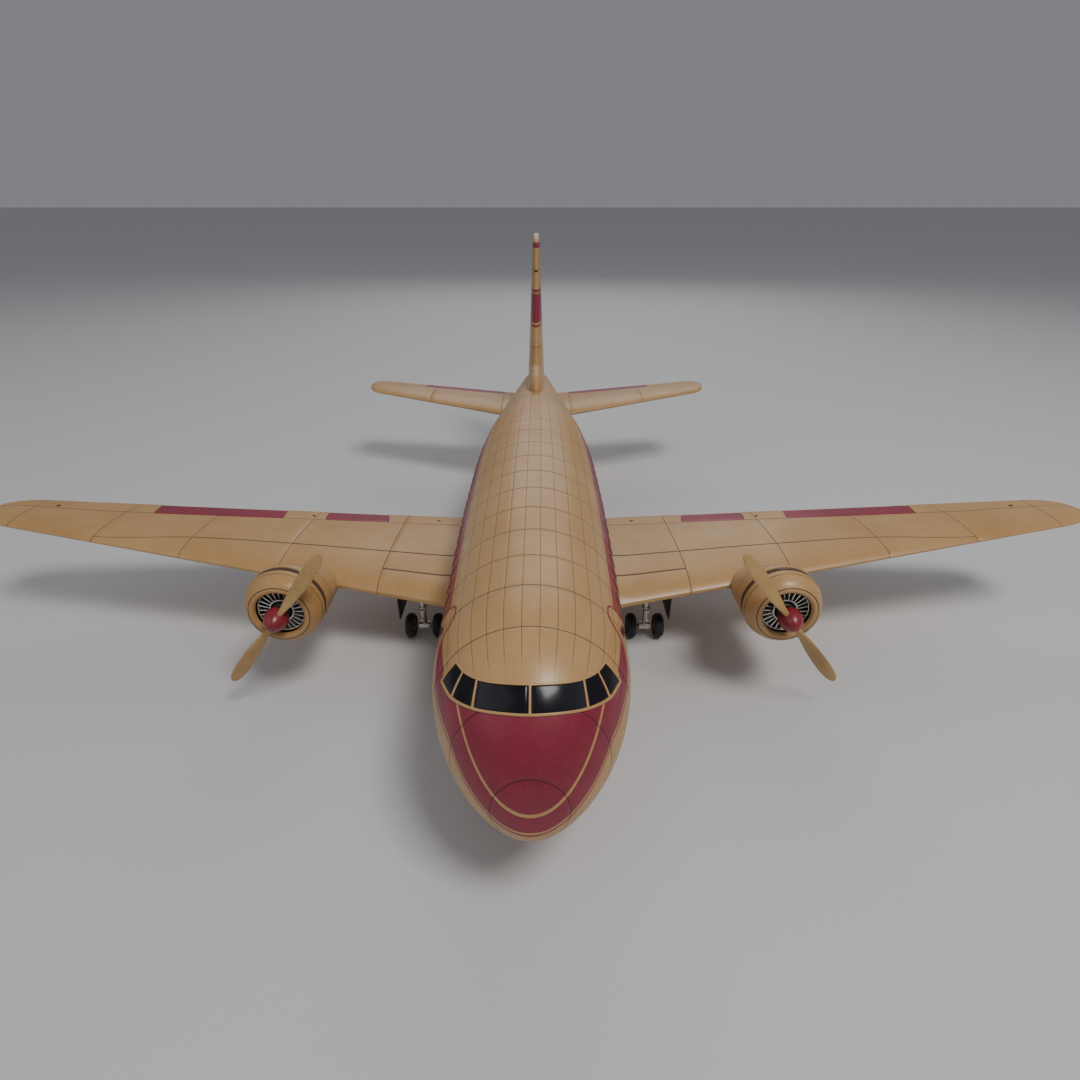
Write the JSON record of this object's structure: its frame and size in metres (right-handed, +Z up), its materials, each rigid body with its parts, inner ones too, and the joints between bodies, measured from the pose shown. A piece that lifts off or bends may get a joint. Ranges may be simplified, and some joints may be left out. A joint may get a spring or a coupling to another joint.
{
  "type": "propeller plane model",
  "caption": "Twin-engine low-wing propeller airliner desk model on wheeled landing gear, with spinning propellers, rolling wheels and hinged control surfaces.",
  "frame": {"origin": "bottom centre of the bounding box, on the surface that the wheels stand on, under the middle of the model", "axes": "+Z up, -Y out of the nose, +X along the wing to the right as seen from in front of the nose"},
  "size_m": [0.5596, 0.44, 0.1802],
  "materials": {
    "cream_paint": "satin",
    "crimson_paint": "satin",
    "dark_glass": "gloss",
    "ochre_blade": "satin",
    "polished_metal": "polished",
    "dark_metal": "satin",
    "tyre_rubber": "matte",
    "steel": "satin"
  },
  "bodies": {
    "airframe": {"fuselage_upper": "cream_paint", "fuselage_lower": "cream_paint", "radome": "cream_paint", "tail_cone": "cream_paint", "windscreen_frame": "cream_paint", "wing_left": "cream_paint", "wing_right": "cream_paint", "nacelle_left": "cream_paint", "nacelle_right": "cream_paint", "cowl_left": "cream_paint", "cowl_right": "cream_paint", "tailplane_left": "cream_paint", "tailplane_right": "cream_paint", "fin": "cream_paint", "main_door_left": "cream_paint", "main_door_right": "cream_paint", "windscreen_glass": "dark_glass", "window_strip_left": "dark_glass", "window_strip_right": "dark_glass", "vane_ring_left": "polished_metal", "vane_ring_right": "polished_metal", "main_leg_left": "polished_metal", "main_leg_right": "polished_metal", "belly_plate": "dark_metal", "engine_case_left": "dark_metal", "engine_case_right": "dark_metal", "nose_ballast": "steel", "nose_bulkhead": "steel", "wing_spar": "steel", "flap_left_pin": "steel", "flap_right_pin": "steel", "aileron_left_pin": "steel", "aileron_right_pin": "steel", "elevator_left_pin": "steel", "elevator_right_pin": "steel", "rudder_pin": "steel"},
    "flap_left": {"flap_left": "crimson_paint"},
    "aileron_left": {"aileron_left": "crimson_paint"},
    "elevator_left": {"elevator_left": "crimson_paint"},
    "prop_left": {"propeller_left": "ochre_blade", "spinner_left": "crimson_paint", "prop_shaft_left": "steel"},
    "main_wheels_left": {"main_axle_left": "polished_metal", "main_tyre_left_inner": "tyre_rubber", "main_tyre_left_outer": "tyre_rubber"},
    "flap_right": {"flap_right": "crimson_paint"},
    "aileron_right": {"aileron_right": "crimson_paint"},
    "elevator_right": {"elevator_right": "crimson_paint"},
    "prop_right": {"propeller_right": "ochre_blade", "spinner_right": "crimson_paint", "prop_shaft_right": "steel"},
    "main_wheels_right": {"main_axle_right": "polished_metal", "main_tyre_right_inner": "tyre_rubber", "main_tyre_right_outer": "tyre_rubber"},
    "rudder": {"rudder": "cream_paint"},
    "nose_gear": {"nose_leg": "polished_metal"},
    "nose_wheels": {"nose_axle": "polished_metal", "nose_tyre_left": "tyre_rubber", "nose_tyre_right": "tyre_rubber"}
  },
  "joints": [
    {"name": "flap_left_hinge", "type": "hinge", "parent": "airframe", "child": "flap_left", "pos_m": [-0.1, -0.02089, 0.04083], "axis": [0.9857, 0.1275, -0.1104], "range_deg": [-35, 0]},
    {"name": "aileron_left_hinge", "type": "hinge", "parent": "airframe", "child": "aileron_left", "pos_m": [-0.1715, -0.03015, 0.04884], "axis": [0.9857, 0.1275, -0.1104], "range_deg": [-20, 20]},
    {"name": "elevator_left_hinge", "type": "hinge", "parent": "airframe", "child": "elevator_left", "pos_m": [-0.06, 0.17344, 0.06403], "axis": [0.9842, -0.1685, -0.0541], "range_deg": [-20, 20]},
    {"name": "prop_left_spin", "type": "hinge", "parent": "airframe", "child": "prop_left", "pos_m": [-0.1069, -0.1196, 0.0474], "axis": [0, 1, 0], "continuous": true},
    {"name": "main_wheels_left_roll", "type": "hinge", "parent": "airframe", "child": "main_wheels_left", "pos_m": [-0.057, -0.07, 0.00632], "axis": [1, 0, 0], "continuous": true},
    {"name": "flap_right_hinge", "type": "hinge", "parent": "airframe", "child": "flap_right", "pos_m": [0.1, -0.02089, 0.04083], "axis": [0.9857, -0.1275, 0.1104], "range_deg": [-35, 0]},
    {"name": "aileron_right_hinge", "type": "hinge", "parent": "airframe", "child": "aileron_right", "pos_m": [0.1715, -0.03015, 0.04884], "axis": [0.9857, -0.1275, 0.1104], "range_deg": [-20, 20]},
    {"name": "elevator_right_hinge", "type": "hinge", "parent": "airframe", "child": "elevator_right", "pos_m": [0.06, 0.17344, 0.06403], "axis": [0.9842, 0.1685, 0.0541], "range_deg": [-20, 20]},
    {"name": "prop_right_spin", "type": "hinge", "parent": "airframe", "child": "prop_right", "pos_m": [0.1069, -0.1196, 0.0474], "axis": [0, 1, 0], "continuous": true},
    {"name": "main_wheels_right_roll", "type": "hinge", "parent": "airframe", "child": "main_wheels_right", "pos_m": [0.057, -0.07, 0.00632], "axis": [1, 0, 0], "continuous": true},
    {"name": "rudder_hinge", "type": "hinge", "parent": "airframe", "child": "rudder", "pos_m": [0, 0.194, 0.131], "axis": [0, 0.0971, 0.9953], "range_deg": [-25, 25]},
    {"name": "nose_gear_steer", "type": "hinge", "parent": "airframe", "child": "nose_gear", "pos_m": [0, -0.18, 0.00514], "axis": [0, 0, 1], "range_deg": [-45, 45]},
    {"name": "nose_wheels_roll", "type": "hinge", "parent": "nose_gear", "child": "nose_wheels", "pos_m": [0, -0.18, 0.00514], "axis": [1, 0, 0], "continuous": true}
  ],
  "couplings": [
    {"joint": "aileron_right_hinge", "follows": "aileron_left_hinge", "ratio": -1},
    {"joint": "flap_right_hinge", "follows": "flap_left_hinge", "ratio": 1},
    {"joint": "elevator_right_hinge", "follows": "elevator_left_hinge", "ratio": 1}
  ]
}
